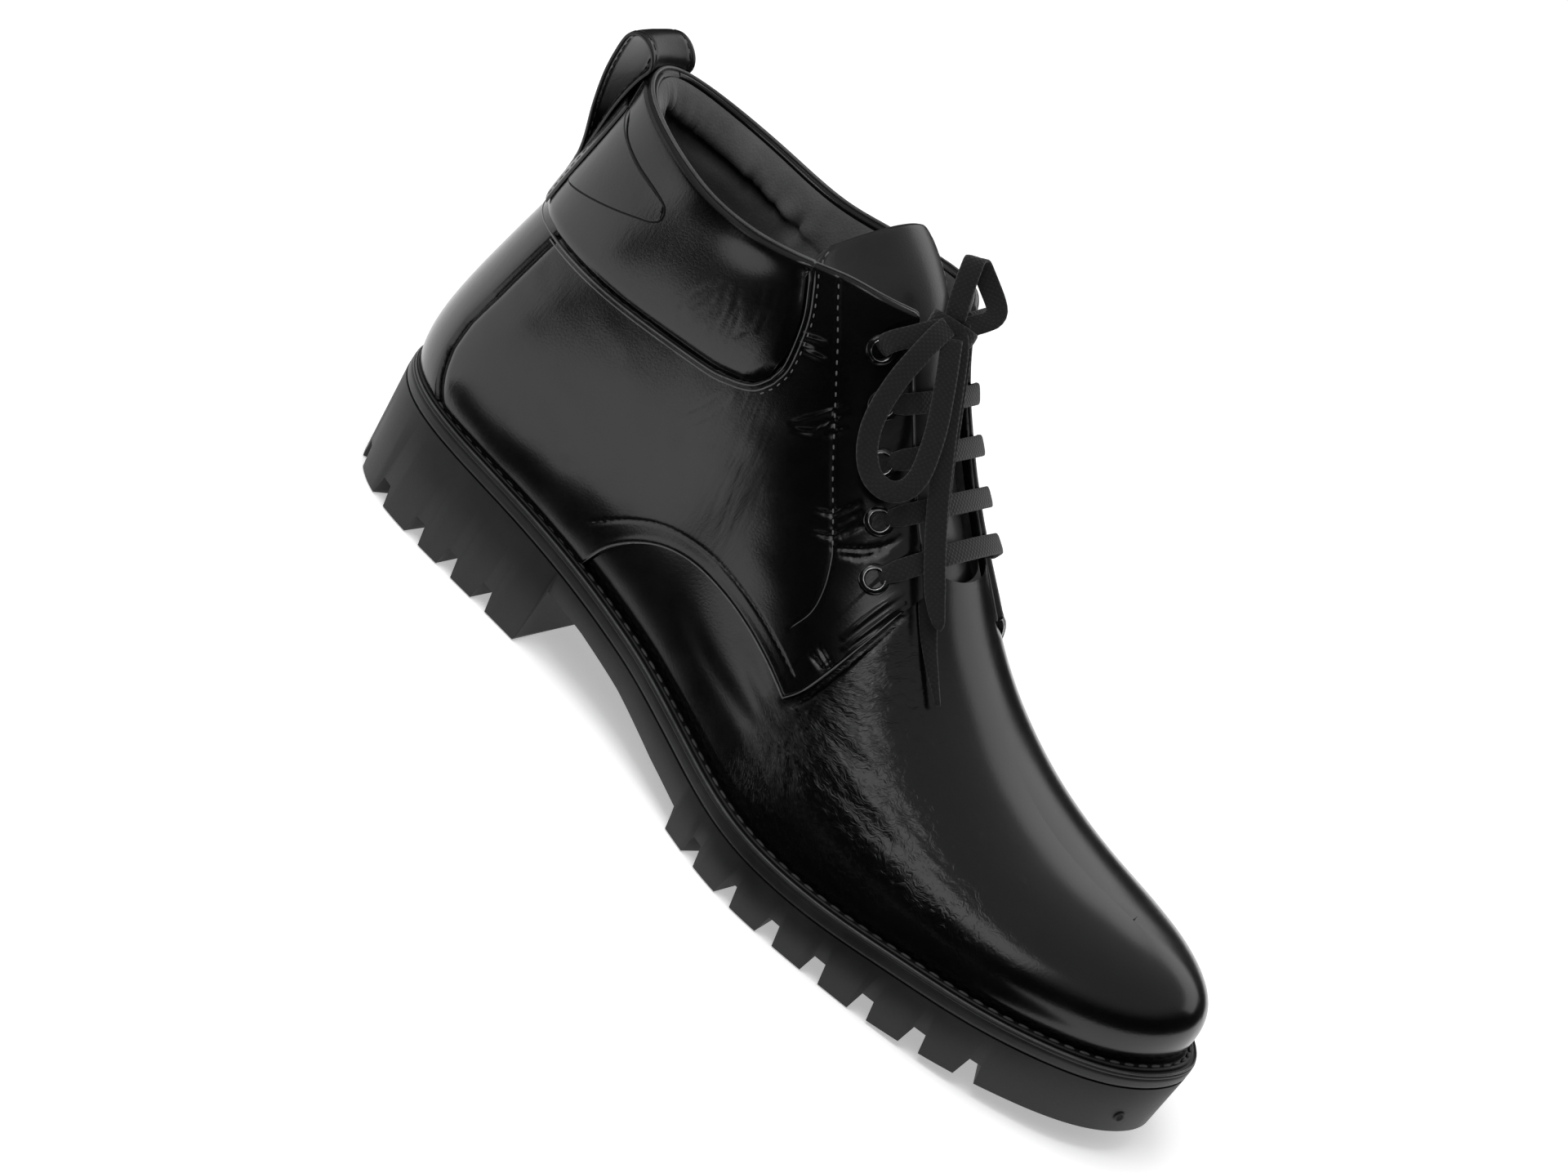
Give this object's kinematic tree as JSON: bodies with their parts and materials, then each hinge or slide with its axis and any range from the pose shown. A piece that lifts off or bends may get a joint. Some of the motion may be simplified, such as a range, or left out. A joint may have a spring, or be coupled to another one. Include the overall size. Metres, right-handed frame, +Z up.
{
  "type": "work boot",
  "caption": "Right-foot ankle-high lace-up work boot: hollow leather upper, padded collar, tongue and pull loop on a welted, lugged rubber sole.",
  "frame": {"origin": "floor level under the middle of the boot's overall length and width, laces left out", "axes": "+X from the heel to the toe, +Y towards the inner side of the foot, +Z up"},
  "size_m": [0.308, 0.1115, 0.1704],
  "materials": {
    "black_leather": "smooth black full-grain leather, semi-gloss, with fine creases",
    "grey_lining": "dark grey padded textile lining",
    "tongue_leather": "soft black leather, padded",
    "black_rubber": "matt dark grey-black rubber",
    "midsole_rubber": "matt dark grey-black rubber, smooth edge",
    "welt_leather": "black stitched welt strip",
    "eyelet_metal": "black lacquered metal with worn bright rims",
    "lace_fabric": "flat woven black lace"
  },
  "bodies": {
    "root": {"back_strip": "black_leather", "collar_cuff": "black_leather", "eyelet_inner_1": "eyelet_metal", "eyelet_inner_2": "eyelet_metal", "eyelet_inner_3": "eyelet_metal", "eyelet_inner_4": "eyelet_metal", "eyelet_inner_5": "eyelet_metal", "eyelet_outer_1": "eyelet_metal", "eyelet_outer_2": "eyelet_metal", "eyelet_outer_3": "eyelet_metal", "eyelet_outer_4": "eyelet_metal", "eyelet_outer_5": "eyelet_metal", "heel_patch": "black_leather", "insole": "grey_lining", "lace_bar_2": "lace_fabric", "lace_bar_3": "lace_fabric", "lace_bar_4": "lace_fabric", "lace_bar_5": "lace_fabric", "lace_end_inner": "lace_fabric", "lace_end_outer": "lace_fabric", "lace_knot": "lace_fabric", "lace_loop_hanging": "lace_fabric", "lace_loop_upper": "lace_fabric", "lace_strand_inner": "lace_fabric", "lace_strand_outer": "lace_fabric", "midsole": "midsole_rubber", "outsole": "black_rubber", "pull_loop": "black_leather", "quarter_inner": "black_leather", "quarter_outer": "black_leather", "tongue": "tongue_leather", "upper": "black_leather", "welt": "welt_leather"}
  },
  "joints": []
}
